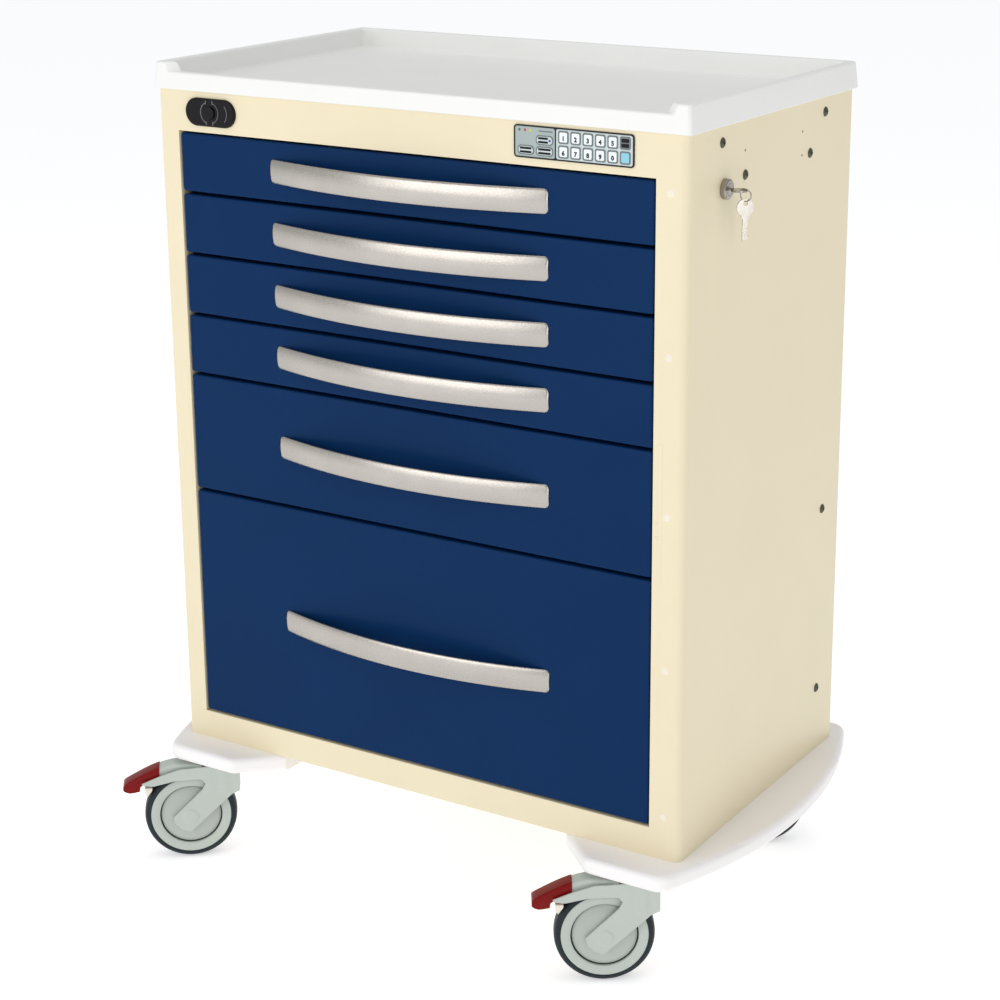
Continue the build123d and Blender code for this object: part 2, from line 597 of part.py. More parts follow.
def caster_pedal():
    """The brake pedal between the guard arms, bored for its pivot pin, with a turned-down toe."""
    px, pz = PEDAL_PIVOT
    outline = [(27.0, 129.0), (45.0, 132.0), (65.0, 132.6), (84.0, 128.0), (110.0, 116.5), (127.0, 108.0),
               (130.0, 104.0), (128.0, 98.5), (121.5, 95.0), (108.5, 97.0), (108.0, 106.5), (84.0, 120.0),
               (65.0, 125.3), (45.0, 124.8), (34.0, 121.2), (28.5, 121.2)]
    pedal = side_profile(outline, -PEDAL_HALF_W, PEDAL_HALF_W)
    return pedal - rod_y(PEDAL_PIN_R + 0.1, -30, 30, px, pz)


# ---------------------------------------------------------------- build every node
def build_cabinet():
    save("side_panel_left", side_panel(-1, OPENING_X0))
    save("side_panel_right", side_panel(1, OPENING_X1))
    save("back_panel", back_panel())
    save("top_frame", top_frame())
    save("base_pan", base_pan())
    save("worktop_tray", worktop_tray())
    save("bumper_left", bumper(-1))
    save("bumper_right", bumper(1))
    save("caster_stems", *[caster_stem(*sign) for sign in CASTER_SIGN.values()])
    rails = [outer_rail(side, low) for low, _ in drawer_levels() for side in (-1, 1)]
    save("slide_rails", *[solid for rail in rails for solid in rail])
    save("panel_screws", *panel_screws())
    save("hole_plugs", *hole_plugs())
    save("keypad_housing", keypad_housing())
    save("keypad_keys", *keypad_keys())
    save("lock_escutcheon", lock_escutcheon())
    save("latch_button", latch_button())
    save("lock_barrel", lock_barrel())
    save("lock_key", lock_key(), key_ring())
    save("spare_key", spare_key())
    save("lock_bar", *lock_bar())


def build_drawers():
    for number, (low, high) in enumerate(drawer_levels(), 1):
        save(f"drawer_{number}_box", *drawer_box(low, high))
        save(f"drawer_{number}_front", drawer_front(low, high))
        save(f"drawer_{number}_handle", drawer_handle(low, high))
        save(f"drawer_{number}_slides", slide_member(-1, low), slide_member(1, low))


def build_casters():
    for name in CASTER_SIGN:
        save(f"caster_{name}_fork", *place_caster(name, *caster_fork()))
        save(f"caster_{name}_wheel", *place_caster(name, caster_wheel()))
        save(f"caster_{name}_tyre", *place_caster(name, caster_tyre()))
        save(f"caster_{name}_pedal", *place_caster(name, caster_pedal()))


os.makedirs("parts", exist_ok=True)
build_cabinet()
build_drawers()
build_casters()
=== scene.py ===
import json
import math

import bmesh
import bpy
from mathutils import Matrix, Vector


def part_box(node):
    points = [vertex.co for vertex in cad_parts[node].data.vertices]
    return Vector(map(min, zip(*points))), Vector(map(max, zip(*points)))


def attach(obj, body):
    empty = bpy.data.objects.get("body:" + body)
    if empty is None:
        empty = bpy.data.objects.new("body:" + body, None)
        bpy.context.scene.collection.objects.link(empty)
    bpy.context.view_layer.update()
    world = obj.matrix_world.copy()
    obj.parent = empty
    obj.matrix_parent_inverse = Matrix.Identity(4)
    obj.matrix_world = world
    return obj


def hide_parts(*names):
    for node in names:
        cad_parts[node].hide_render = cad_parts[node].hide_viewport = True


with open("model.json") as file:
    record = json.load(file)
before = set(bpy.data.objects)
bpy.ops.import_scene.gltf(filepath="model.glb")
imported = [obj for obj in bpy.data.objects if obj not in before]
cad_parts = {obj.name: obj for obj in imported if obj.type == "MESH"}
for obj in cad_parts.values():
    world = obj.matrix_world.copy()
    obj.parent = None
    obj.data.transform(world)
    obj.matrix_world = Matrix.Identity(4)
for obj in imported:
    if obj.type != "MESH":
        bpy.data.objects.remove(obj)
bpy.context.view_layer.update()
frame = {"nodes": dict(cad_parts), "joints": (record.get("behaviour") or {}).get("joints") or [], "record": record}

MM = 0.001
NODES = frame["nodes"]
JOINTS = {joint["name"]: joint for joint in frame["joints"]}
BODIES = frame["record"]["behaviour"]["bodies"]
BODY_OF = {node: body for body, nodes in BODIES.items() for node in nodes}
DRAWERS = range(1, 7)
CASTERS = ("front_left", "front_right", "rear_left", "rear_right")
# Faces that meet below this angle, in degrees, are shaded as one on casters and screws.
SHARP_ANGLE = 38.0


# ---------------------------------------------------------------- materials
def srgb(red, green, blue):
    """A linear colour from display values of 0 to 255."""
    def linear(value):
        value /= 255
        return value / 12.92 if value <= 0.04045 else ((value + 0.055) / 1.055) ** 2.4
    return (linear(red), linear(green), linear(blue))


def shade(colour, factor):
    """An opaque colour, scaled."""
    return (*[min(1.0, channel * factor) for channel in colour], 1.0)


def surface(name, colour, roughness, metallic=0.0, mottle=0.03, mottle_scale=9.0, rough_spread=0.04,
            grain_scale=900.0, grain_depth=0.02, stretch=(1, 1, 1), coat=0.0, specular=0.5):
    """A procedural finish: mottled colour, uneven roughness and a fine grain in the normal."""
    material = bpy.data.materials.new(name)
    material.use_nodes = True
    tree = material.node_tree
    shader = tree.nodes["Principled BSDF"]
    shader.inputs["Metallic"].default_value = metallic
    shader.inputs["Coat Weight"].default_value = coat
    shader.inputs["Coat Roughness"].default_value = 0.15
    shader.inputs["Specular IOR Level"].default_value = specular
    place = tree.nodes.new("ShaderNodeTexCoord")
    mapping = tree.nodes.new("ShaderNodeMapping")
    mapping.inputs["Scale"].default_value = stretch
    tree.links.new(place.outputs["Object"], mapping.inputs["Vector"])
    cloud = tree.nodes.new("ShaderNodeTexNoise")
    cloud.inputs["Scale"].default_value = mottle_scale
    cloud.inputs["Detail"].default_value = 4.0
    tree.links.new(place.outputs["Object"], cloud.inputs["Vector"])
    ramp = tree.nodes.new("ShaderNodeValToRGB")
    ramp.color_ramp.elements[0].position = 0.3
    ramp.color_ramp.elements[1].position = 0.7
    ramp.color_ramp.elements[0].color = shade(colour, 1 - mottle)
    ramp.color_ramp.elements[1].color = shade(colour, 1 + mottle)
    tree.links.new(cloud.outputs["Fac"], ramp.inputs["Fac"])
    tree.links.new(ramp.outputs["Color"], shader.inputs["Base Color"])
    grain = tree.nodes.new("ShaderNodeTexNoise")
    grain.inputs["Scale"].default_value = grain_scale
    grain.inputs["Detail"].default_value = 2.0
    tree.links.new(mapping.outputs["Vector"], grain.inputs["Vector"])
    spread = tree.nodes.new("ShaderNodeMapRange")
    spread.inputs["To Min"].default_value = max(0.02, roughness - rough_spread)
    spread.inputs["To Max"].default_value = roughness + rough_spread
    tree.links.new(grain.outputs["Fac"], spread.inputs["Value"])
    tree.links.new(spread.outputs["Result"], shader.inputs["Roughness"])
    bump = tree.nodes.new("ShaderNodeBump")
    bump.inputs["Strength"].default_value = 1.0
    bump.inputs["Distance"].default_value = grain_depth * MM
    tree.links.new(grain.outputs["Fac"], bump.inputs["Height"])
    tree.links.new(bump.outputs["Normal"], shader.inputs["Normal"])
    return material


cream_paint = surface("cream_powder_coat", srgb(232, 220, 188), 0.34, mottle=0.012, grain_scale=420)
navy_paint = surface("navy_enamel", srgb(12, 46, 88), 0.30, grain_scale=420, grain_depth=0.018, specular=0.05)
white_plastic = surface("white_moulded_plastic", srgb(236, 236, 233), 0.38, mottle=0.01, grain_scale=1200,
                        grain_depth=0.012)
nickel = surface("satin_nickel", srgb(184, 179, 172), 0.30, metallic=1.0, mottle_scale=25,
                 rough_spread=0.12, grain_scale=620, grain_depth=0.06, stretch=(0.5, 1, 1))
zinc = surface("zinc_plate", srgb(176, 178, 180), 0.38, metallic=1.0, mottle=0.08, mottle_scale=60,
               grain_scale=800, grain_depth=0.01, stretch=(1, 0.1, 1))
box_paint = surface("drawer_box_grey", srgb(196, 199, 202), 0.42, grain_scale=500)
caster_grey = surface("caster_grey", srgb(186, 194, 186), 0.42, mottle=0.02, grain_scale=1500,
                      grain_depth=0.015)
hub_grey = surface("hub_grey", srgb(176, 183, 176), 0.36, grain_scale=1500, grain_depth=0.01)
# Near-black for the wheel's groove between disc and ring: painted shade in the channel.
groove_painted_shade = surface("groove_painted_shade", srgb(26, 32, 34), 0.6, mottle=0.05, specular=0.2)
tyre_rubber = surface("tyre_rubber", srgb(24, 36, 40), 0.5, specular=0.3, mottle=0.10, mottle_scale=40,
                      grain_scale=1800)
pedal_red = surface("pedal_red", srgb(122, 7, 7), 0.3, specular=0.18, mottle=0.06, mottle_scale=30,
                    grain_scale=1400, grain_depth=0.012)
cream_plastic = surface("cream_plastic", srgb(236, 228, 212), 0.4, mottle=0.02)
black_gloss = surface("black_gloss", srgb(13, 12, 16), 0.28, mottle=0.1, grain_scale=1500, grain_depth=0.006,
                      specular=0.18)
# Lighter grey for the escutcheon's raised lines on black: painted highlight.
relief_painted_highlight = surface("relief_painted_highlight", srgb(104, 102, 108), 0.3, mottle=0.1, grain_scale=1500, specular=0.5)
chrome = surface("polished_nickel", srgb(160, 155, 148), 0.16, metallic=1.0, mottle=0.05, mottle_scale=150,
                 grain_scale=900, grain_depth=0.01)
# Dark oxide finish of the screws; the pilot holes use it too, as painted shade for their depth.
screw_oxide_and_hole_shade = surface("screw_oxide_and_hole_shade", srgb(92, 90, 76), 0.3, metallic=0.9, mottle=0.15, mottle_scale=300)
bumper_white = surface("bumper_white", srgb(246, 243, 242), 0.4, mottle=0.01, grain_scale=1200,
                       grain_depth=0.012)
keypad_black = surface("keypad_black", srgb(22, 24, 26), 0.45, mottle=0.05, specular=0.25)
keypad_grey = surface("keypad_grey", srgb(162, 174, 173), 0.42, mottle=0.02, grain_scale=2500,
                      grain_depth=0.005)
keypad_pale = surface("keypad_pale", srgb(196, 207, 208), 0.42, mottle=0.02, grain_scale=2500,
                      grain_depth=0.005)
key_rim = surface("key_rim", srgb(104, 112, 114), 0.45)
key_white = surface("key_white", srgb(232, 238, 240), 0.4, mottle=0.01, grain_scale=2500, grain_depth=0.004)
key_blue = surface("key_blue", srgb(134, 198, 216), 0.4, mottle=0.02, grain_scale=2500, grain_depth=0.004)
print_dark = surface("print_dark", srgb(16, 18, 22), 0.5, mottle=0.04, specular=0.2)
print_blue = surface("print_blue", srgb(44, 86, 160), 0.45, mottle=0.04)
led_green = surface("led_green", srgb(38, 120, 84), 0.15, mottle=0.1, coat=0.6)
led_red = surface("led_red", srgb(176, 40, 44), 0.15, mottle=0.1, coat=0.6)
led_yellow = surface("led_yellow", srgb(206, 190, 60), 0.15, mottle=0.1, coat=0.6)


# ---------------------------------------------------------------- mesh helpers
def linked(name, data):
    """A new object for a mesh, curve, light or camera, in the scene."""
    piece = bpy.data.objects.new(name, data)
    bpy.context.scene.collection.objects.link(piece)
    return piece


def new_piece(name, mesh, material, body, matrix=None, smooth_angle=35.0):
    """A piece that rides on a body. A mesh shared by several pieces gets its finish with the first."""
    piece = linked(name, mesh)
    if matrix is not None:
        piece.matrix_world = matrix
    if not mesh.materials:
        mesh.materials.append(material)
        for polygon in mesh.polygons:
            polygon.use_smooth = True
        mesh.set_sharp_from_angle(angle=math.radians(smooth_angle))
    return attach(piece, body)


def mesh_of(name, bm):
    """A mesh from a bmesh, which is used up."""
    bmesh.ops.recalc_face_normals(bm, faces=bm.faces)
    mesh = bpy.data.meshes.new(name)
    bm.to_mesh(mesh)
    bm.free()
    return mesh


def skin(rings, closed_rings=True, cap_start=True, cap_end=True):
    """Vertices and faces of a surface through equal rings of points."""
    count = len(rings[0])
    vertices = [point for ring in rings for point in ring]
    faces = []
    last = count if closed_rings else count - 1
    for i in range(len(rings) - 1):
        for j in range(last):
            k = (j + 1) % count
            faces.append((i * count + j, i * count + k, (i + 1) * count + k, (i + 1) * count + j))
    if cap_start:
        faces.append(tuple(reversed(range(count))))
    if cap_end:
        faces.append(tuple(range((len(rings) - 1) * count, len(rings) * count)))
    return vertices, faces


def add_faces(bm, vertices, faces):
    """Adds to bm the vertices, and the faces given by their numbers."""
    made = [bm.verts.new(v) for v in vertices]
    for face in faces:
        bm.faces.new([made[i] for i in face])


def bm_from(vertices, faces):
    """A new bmesh with its faces turned outwards."""
    bm = bmesh.new()
    add_faces(bm, vertices, faces)
    bmesh.ops.recalc_face_normals(bm, faces=bm.faces)
    return bm


def evaluated(piece):
    """A plain mesh of a piece with its modifiers applied."""
    bpy.context.view_layer.update()
    graph = bpy.context.evaluated_depsgraph_get()
    return bpy.data.meshes.new_from_object(piece.evaluated_get(graph))


def cleaned(node, matrix=None):
    """A CAD node's mesh as bmesh, welded, with the flat areas joined into single faces."""
    bm = bmesh.new()
    bm.from_mesh(NODES[node].data)
    if matrix is not None:
        bmesh.ops.transform(bm, matrix=matrix, verts=bm.verts)
    bmesh.ops.remove_doubles(bm, verts=bm.verts, dist=2e-6)
    bmesh.ops.dissolve_limit(bm, angle_limit=math.radians(0.5), verts=bm.verts, edges=bm.edges)
    return bm


def box_of(bm):
    """The low and high corners of a bmesh."""
    coords = [v.co for v in bm.verts]
    return tuple(Vector([pick(c[i] for c in coords) for i in range(3)]) for pick in (min, max))


def islands(bm):
    """The separate closed shells of a bmesh, largest box first, each as its own bmesh."""
    seen = set()
    parts = []
    for start in bm.verts:
        if start in seen:
            continue
        group = [start]
        seen.add(start)
        for vertex in group:
            for edge in vertex.link_edges:
                other = edge.other_vert(vertex)
                if other not in seen:
                    seen.add(other)
                    group.append(other)
        index = {vertex: i for i, vertex in enumerate(group)}
        faces = [[index[v] for v in face.verts] for face in bm.faces if face.verts[0] in index]
        parts.append(bm_from([v.co.copy() for v in group], faces))

    def size(part):
        low, high = box_of(part)
        return math.prod(high - low)
    return sorted(parts, key=size, reverse=True)


def softened(bm, voxel, rounds):
    """A moulded version of a mesh: remeshed evenly and smoothed, so that every edge is rounded."""
    scratch = linked("scratch", mesh_of("scratch", bm))
    remesh = scratch.modifiers.new("remesh", "REMESH")
    remesh.mode = "VOXEL"
    remesh.voxel_size = voxel * MM
    smooth = scratch.modifiers.new("smooth", "SMOOTH")
    smooth.factor = 0.5
    smooth.iterations = rounds
    mesh = evaluated(scratch)
    bpy.data.objects.remove(scratch)
    return mesh


def lathe(profile, segments=96):
    """A closed ring of a profile of (radius, across) points in mm, turned about local Y."""
    rings = []
    for i in range(segments):
        turn = 2 * math.pi * i / segments
        rings.append([Vector((r * math.cos(turn), y, r * math.sin(turn))) * MM for r, y in profile])
    bm = bm_from(*skin(rings + [rings[0]], cap_start=False, cap_end=False))
    bmesh.ops.remove_doubles(bm, verts=bm.verts, dist=1e-7)
    return bm


def rounded_rectangle(width, height, radius, steps=6):
    """Points in mm round a rectangle with rounded corners, anticlockwise."""
    points = []
    for quarter, (sx, sy) in enumerate(((1, 1), (-1, 1), (-1, -1), (1, -1))):
        for i in range(steps + 1):
            turn = math.pi / 2 * (quarter + i / steps)
            points.append((sx * (width / 2 - radius) + radius * math.cos(turn),
                           sy * (height / 2 - radius) + radius * math.sin(turn)))
    return points


def front_plate(bm, outline, x, z, y_face, thickness, edge=0.0):
    """Adds a flat plate to bm, seen from -Y: an outline in XZ about (x, z), y_face outwards, in mm."""
    rings = [[Vector((x + u, y_face + thickness, z + v)) * MM for u, v in outline],
             [Vector((x + u, y_face + edge, z + v)) * MM for u, v in outline]]
    if edge:
        width = max(u for u, _ in outline)
        height = max(v for _, v in outline)
        rings.append([Vector((x + u * (1 - edge / width), y_face, z + v * (1 - edge / height))) * MM
                      for u, v in outline])
    add_faces(bm, *skin(rings))


def paint(node, material):
    """Gives a CAD node, shown as it is, its finish."""
    for slot in NODES[node].material_slots:
        slot.material = material


def eased(node, material, width, matrix=None):
    """A copy of a CAD node, moved by a matrix if one is given, with its edges rounded: it stands for it."""
    name = node + "_eased"
    piece = new_piece(name, mesh_of(name, cleaned(node, matrix)), material, BODY_OF[node])
    bevel = piece.modifiers.new("edges", "BEVEL")
    bevel.width = width * MM
    bevel.segments = 2
    bevel.limit_method = "ANGLE"
    bevel.angle_limit = math.radians(40.0)
    bevel.harden_normals = True
    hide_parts(node)


# ---------------------------------------------------------------- cabinet
for node in ("side_panel_left", "side_panel_right", "top_frame", "base_pan", "back_panel"):
    paint(node, cream_paint)
for node in ("slide_rails", "caster_stems", "lock_bar"):
    paint(node, zinc)
for node in ("bumper_left", "bumper_right"):
    paint(node, bumper_white)
paint("hole_plugs", cream_plastic)

FRONT_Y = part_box("top_frame")[0].y / MM
# Each strip's x, width, and the heights of its ends.
STRIPS = [(333.0, 5.5, 498.0, 663.0), (-343.0, 7.0, 487.0, 661.0)]
STRIP_PROUD = 0.3
DOT_X = 329.8
DOT_HEIGHTS = (552.0, 569.0)
DOT_WIDTH = 3.6
DOT_PROUD = 0.8


def stile_strips():
    """The two faint upright strips on the stiles, and the two small plugs beside the right one."""
    bm = bmesh.new()
    for x, width, low, high in STRIPS:
        outline = rounded_rectangle(width, high - low, 1.5)
        front_plate(bm, outline, x, (low + high) / 2, FRONT_Y - STRIP_PROUD, 0.5, 0.25)
    for z in DOT_HEIGHTS:
        dot = rounded_rectangle(DOT_WIDTH, DOT_WIDTH, DOT_WIDTH / 2 - 0.01)
        front_plate(bm, dot, DOT_X, z, FRONT_Y - DOT_PROUD, 1.0, 0.4)
    new_piece("stile_strips", mesh_of("stile_strips", bm), cream_paint, "cabinet")


stile_strips()


# ---------------------------------------------------------------- worktop tray
TRAY_LOW, TRAY_HIGH = (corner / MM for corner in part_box("worktop_tray"))
TRAY_CORNER_R = 5.0
# The plan corners widen inwards, by this share of the inset.
TRAY_CORNER_GROWTH = 0.2
TRAY_DRAFT = math.tan(math.radians(4.5))
TRAY_WALL = 15.0
TRAY_FLOOR = TRAY_LOW.z + 6.0
TRAY_LIP = 1029.0
# The front wall steps from the lip to the rim between these distances from the middle.
TRAY_NOTCH = (347.5, 355.0)
TRAY_EDGE_R = 2.6
TRAY_COVE_R = 4.0
TRAY_FLOOR_INSET = 9.0


def tray_outline():
    """Places round the tray as (kind, a, b): a corner's signs and angle, or a share of the front wall."""
    places = []
    for quarter, signs in enumerate(((1, 1), (-1, 1), (-1, -1), (1, -1))):
        places += [("corner", signs, math.pi / 2 * (quarter + i / 10)) for i in range(11)]
        if quarter == 2:
            steps = [0.94 + 0.003 * i for i in range(15)]
            shares = [-x for x in reversed(steps)] + [-0.5, 0.0, 0.5] + steps
            places += [("front", share, 0) for share in shares]
    return places


def tray_point(place, inset):
    """Where a place lies in plan, at an inset from the foot of the wall."""
    kind, a, turn = place
    half_x, half_y = TRAY_HIGH.x - inset, TRAY_HIGH.y - inset
    r = TRAY_CORNER_R + TRAY_CORNER_GROWTH * inset
    if kind == "front":
        return a * (half_x - r), -half_y
    return a[0] * (half_x - r) + r * math.cos(turn), a[1] * (half_y - r) + r * math.sin(turn)


def rim_height(place):
    """Height of the wall's top: full, or stepped down between the front corners."""
    if place[0] == "corner":
        return TRAY_HIGH.z
    x = abs(tray_point(place, 0)[0])
    share = min(1.0, max(0.0, (x - TRAY_NOTCH[0]) / (TRAY_NOTCH[1] - TRAY_NOTCH[0])))
    return TRAY_LIP + (TRAY_HIGH.z - TRAY_LIP) * share * share * (3 - 2 * share)


def tray_section(top):
    """Pairs of (inset from the foot, height) from the foot over the rim to the floor."""
    def outer(z):
        return (z - TRAY_LOW.z) * TRAY_DRAFT

    def inner(z):
        return TRAY_WALL - (z - TRAY_FLOOR) * TRAY_DRAFT
    r = TRAY_EDGE_R
    section = [(0.6, TRAY_LOW.z), (0.0, TRAY_LOW.z + 0.8), (outer(top - r), top - r)]
    for i in range(1, 6):
        turn = math.pi / 2 * i / 5
        section.append((outer(top - r) + r * (1 - math.cos(turn)), top - r + r * math.sin(turn)))
    for i in range(0, 6):
        turn = math.pi / 2 * i / 5
        section.append((inner(top - r) - r * (1 - math.sin(turn)), top - r + r * math.cos(turn)))
    c = TRAY_COVE_R
    for i in range(0, 6):
        turn = math.pi / 2 * i / 5
        section.append((inner(TRAY_FLOOR + c) + c * (1 - math.cos(turn)),
                        TRAY_FLOOR + c * (1 - math.sin(turn))))
    section.append((inner(TRAY_FLOOR) + TRAY_FLOOR_INSET, TRAY_FLOOR))
    return section


def worktop():
    """The moulded tray: one section carried round the outline, closed by its floor and its underside."""
    rings = []
    for place in tray_outline():
        section = tray_section(rim_height(place))
        rings.append([Vector((*tray_point(place, inset), z)) * MM for inset, z in section])
    count = len(rings[0])
    vertices, faces = skin(rings + [rings[0]], closed_rings=False, cap_start=False, cap_end=False)
    total = len(rings)
    faces.append(tuple(i * count + count - 1 for i in range(total)))
    faces.append(tuple(i * count for i in reversed(range(total))))
    bm = bm_from(vertices, faces)
    bmesh.ops.remove_doubles(bm, verts=bm.verts, dist=1e-6)
    mesh = mesh_of("worktop_moulding", bm)
    piece = new_piece("worktop_moulding", mesh, white_plastic, "cabinet")
    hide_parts("worktop_tray")


worktop()


# ---------------------------------------------------------------- drawers
HANDLE_T = 3.2
HANDLE_CROWN = 2.4
HANDLE_CORNER_R = 5.5
HANDLE_END_LIFT = 2.4
HANDLE_EDGE_R = 1.3
# How far from its ends the pull's edge softens.
HANDLE_SOFT_END = 1.6


def handle_mesh():
    """The bowed pull about its own middle: a crowned band with rounded corners and soft edges."""
    low, high = (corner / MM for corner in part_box("drawer_1_handle"))
    half, tall = (high.x - low.x) / 2, (high.z - low.z) / 2
    sag = high.y - low.y - HANDLE_END_LIFT
    bow_r = (half ** 2 + sag ** 2) / (2 * sag)
    stations = []
    for i in range(9):
        turn = math.pi / 2 * i / 8
        stations.append(-half + HANDLE_CORNER_R * (1 - math.cos(turn)))
    inner = [(-half + HANDLE_CORNER_R) * (1 - i / 24) for i in range(1, 24)]
    stations += inner + [0.0] + [-x for x in reversed(inner)] + [-x for x in reversed(stations)]
    rings = []
    for x in stations:
        end = half - abs(x)
        cut = 0.0
        if end < HANDLE_CORNER_R:
            cut = HANDLE_CORNER_R - math.sqrt(max(0.0, HANDLE_CORNER_R ** 2 - (HANDLE_CORNER_R - end) ** 2))
        h = tall - cut
        crest = low.y + bow_r - math.sqrt(bow_r ** 2 - x * x)
        soft = HANDLE_EDGE_R * (1 - min(1.0, end / HANDLE_SOFT_END)) * 0.8
        ring = []
        for j in range(13):
            v = -1 + 2 * j / 12
            z = v * (h - HANDLE_EDGE_R * 0.5)
            bulge = HANDLE_CROWN * (z / tall) ** 2
            ring.append((x, crest + bulge + soft, z))
        edge = []
        for j in range(1, 4):
            turn = math.pi / 2 * j / 4
            edge.append((crest + HANDLE_CROWN * (h / tall) ** 2 + soft + HANDLE_EDGE_R * (1 - math.cos(turn)),
                         h - HANDLE_EDGE_R * 0.5 * (1 - math.sin(turn))))
        back = min(high.y, crest + HANDLE_T + HANDLE_CROWN * 0.6)
        ring += [(x, y, z) for y, z in edge]
        ring += [(x, back, h * share) for share in (1, 0.5, 0, -0.5, -1)]
        ring += [(x, y, -z) for y, z in reversed(edge)]
        rings.append([Vector(point) * MM for point in ring])
    return mesh_of("bowed_pull", bm_from(*skin(rings)))


def drawers():
    """The fronts, boxes and slides in their finishes, and six pulls of one mesh."""
    pull = handle_mesh()
    for number in DRAWERS:
        name = f"drawer_{number}"
        paint(name + "_front", navy_paint)
        paint(name + "_box", box_paint)
        paint(name + "_slides", zinc)
        low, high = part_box(name + "_handle")
        place = Matrix.Translation(((low.x + high.x) / 2, 0, (low.z + high.z) / 2))
        piece = new_piece(name + "_pull", pull, nickel, name, place, smooth_angle=50.0)
        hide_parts(name + "_handle")


drawers()


# ---------------------------------------------------------------- casters
WHEEL_R = 60.0
# Half profiles of the wheel, as (radius, across): its dished disc, groove, outer ring and tyre.
HUB_PROFILE = [(4.2, -15.35), (9.0, -15.35), (14.0, -15.2), (22.0, -14.6), (29.0, -13.4), (34.0, -11.9),
               (37.6, -10.2), (38.7, -9.2)]
GROOVE_PROFILE = [(38.7, -9.0), (40.6, -9.0)]
RING_PROFILE = [(40.4, -12.4), (41.2, -12.9), (51.0, -13.3), (51.9, -13.0)]
TYRE_SECTION = [(51.9, -12.0), (52.3, -13.3), (53.2, -13.9), (55.4, -13.6), (57.6, -12.2), (59.2, -9.6),
                (59.9, -5.5), (60.0, 0.0)]
# Stations along the pedal, as (along, top, skirt): its grey lever and its red toe.
GREY_STATIONS = [(27.5, 128.4, 121.6), (33.0, 129.8, 121.6), (45.0, 131.4, 123.0), (56.0, 131.9, 122.4),
                 (65.0, 131.9, 120.8), (75.0, 129.9, 118.4), (84.0, 127.0, 116.0)]
RED_STATIONS = [(82.5, 128.2, 115.4), (84.0, 128.0, 114.8), (94.0, 124.0, 110.6), (104.0, 119.4, 105.6),
                (107.6, 117.6, 103.6), (108.6, 117.0, 97.2), (116.0, 113.2, 95.8), (122.0, 110.0, 95.4),
                (126.5, 107.4, 97.0), (129.0, 105.0, 98.8), (129.9, 103.6, 100.2)]


def mirrored(profile):
    """A profile given for one side of a wheel, closed by its mirror image."""
    return profile + [(r, -y) for r, y in reversed(profile) if y < 0]


def caster_matrix(name):
    """The caster's own frame: X along its trail, Y along its axle, Z above the floor."""
    pin = Vector(JOINTS[f"caster_{name}_swivel_turn"]["pos_m"])
    hub = Vector(JOINTS[f"caster_{name}_roll"]["pos_m"])
    trail = Vector((hub.x - pin.x, hub.y - pin.y, 0))
    across = Vector(JOINTS[f"caster_{name}_roll"]["axis"])
    matrix = Matrix((trail.normalized(), across, Vector((0, 0, 1)))).transposed().to_4x4()
    matrix.translation = (pin.x, pin.y, 0)
    return matrix, trail.length


def pedal_mesh(name, stations, half_width, drop_inside):
    """A hood over the wheel: (along, top, skirt) stations in mm, with rounded shoulders."""
    rings = []
    for s, top, skirt in stations:
        r = min(5.0, (top - skirt) * 0.45)
        ring = []
        for side in (1, -1):
            arc = [(side * (half_width - r + r * math.sin(math.pi / 2 * i / 5)),
                    top - r + r * math.cos(math.pi / 2 * i / 5)) for i in range(6)]
            wall = [(side * half_width, skirt), (side * (half_width - 1.8), skirt)]
            inside = [(side * (half_width - 2.0), min(top - 2.6, skirt + drop_inside))]
            half_ring = arc + wall + inside
            ring += half_ring if side > 0 else list(reversed(half_ring))
        rings.append([Vector((s, y, z)) * MM for y, z in ring])
    return mesh_of(name, bm_from(*skin(rings)))


def casters():
    """Four casters of shared meshes, each in its own place."""
    first, trail = caster_matrix(CASTERS[0])
    fork_bm, shoe_bm = islands(cleaned(f"caster_{CASTERS[0]}_fork", first.inverted()))
    fork = softened(fork_bm, voxel=0.9, rounds=5)
    shoe = softened(shoe_bm, voxel=0.6, rounds=4)
    hub_place = Matrix.Translation((trail, 0, WHEEL_R * MM))
    wheel_disc = mesh_of("wheel_disc", lathe(mirrored(HUB_PROFILE)))
    wheel_groove = mesh_of("wheel_groove", lathe(mirrored(GROOVE_PROFILE)))
    wheel_ring = mesh_of("wheel_ring", lathe(mirrored(RING_PROFILE)))
    tread = mesh_of("tread", lathe(mirrored(TYRE_SECTION)))
    lever = pedal_mesh("lever", GREY_STATIONS, half_width=13.0, drop_inside=4.0)
    toe = pedal_mesh("toe", RED_STATIONS, half_width=13.9, drop_inside=3.0)
    for name in CASTERS:
        place, _ = caster_matrix(name)
        stem = f"caster_{name}"

        def add(suffix, mesh, material, matrix, body):
            return new_piece(f"{stem}_{suffix}", mesh, material, f"{stem}_{body}", matrix, SHARP_ANGLE)
        body = add("moulding", fork, caster_grey, place, "swivel")
        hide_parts(stem + "_fork")
        add("brake_shoe", shoe, cream_plastic, place, "swivel")
        disc = add("disc", wheel_disc, hub_grey, place @ hub_place, "roller")
        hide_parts(stem + "_wheel")
        # The groove's near-black is painted shade.
        add("groove", wheel_groove, groove_painted_shade, place @ hub_place, "roller")
        add("ring", wheel_ring, caster_grey, place @ hub_place, "roller")
        rubber = add("tread", tread, tyre_rubber, place @ hub_place, "roller")
        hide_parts(stem + "_tyre")
        grey = add("lever", lever, caster_grey, place, "brake")
        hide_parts(stem + "_pedal")
        add("toe", toe, pedal_red, place, "brake")


casters()


